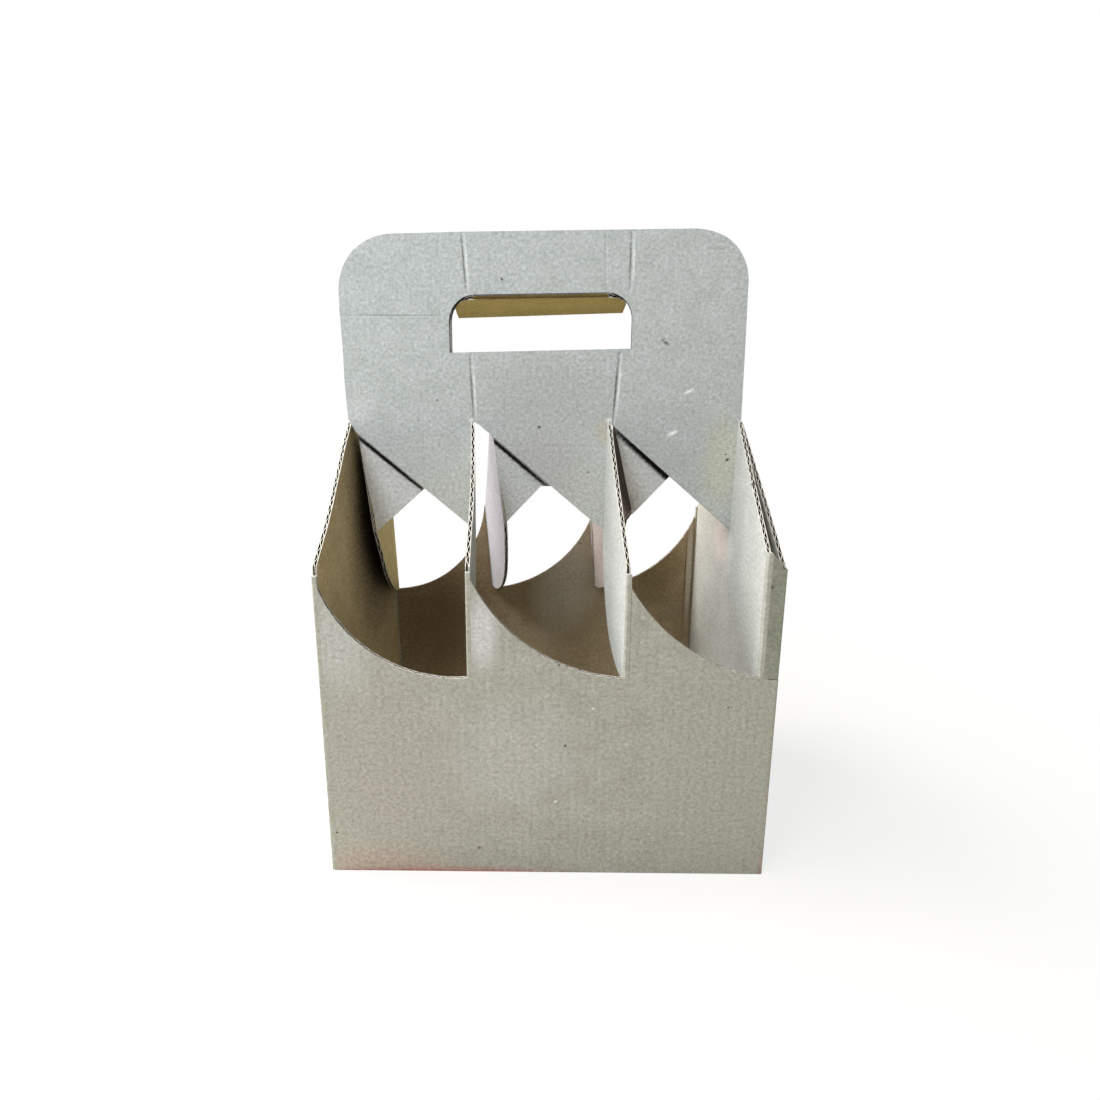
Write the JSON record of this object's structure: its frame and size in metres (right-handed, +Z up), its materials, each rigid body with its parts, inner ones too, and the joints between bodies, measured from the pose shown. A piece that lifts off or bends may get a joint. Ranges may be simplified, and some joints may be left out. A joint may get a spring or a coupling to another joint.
{
  "type": "bottle shipping box",
  "caption": "Open-topped fluted cardboard box for bottles, with slanting divider straps in scalloped cell openings, an upright carrying handle and a folded hand-hole flap.",
  "frame": {"origin": "middle of the base, at the middle of the overall width and depth", "axes": "+Z up through the handle, -Y towards the front panel, X along the width"},
  "size_m": [0.203, 0.138, 0.298],
  "materials": {
    "board": "matt recycled grey-brown liner",
    "flap_board": "matt recycled brown liner"
  },
  "bodies": {
    "box": {"carrier": "board"},
    "flap": {"hand_hole_flap": "flap_board"}
  },
  "joints": [
    {"name": "hand_hole_crease", "type": "hinge", "parent": "box", "child": "flap", "pos_m": [0, -0.00095, 0.26735], "axis": [1, 0, 0], "range_deg": [-77, 12]}
  ]
}
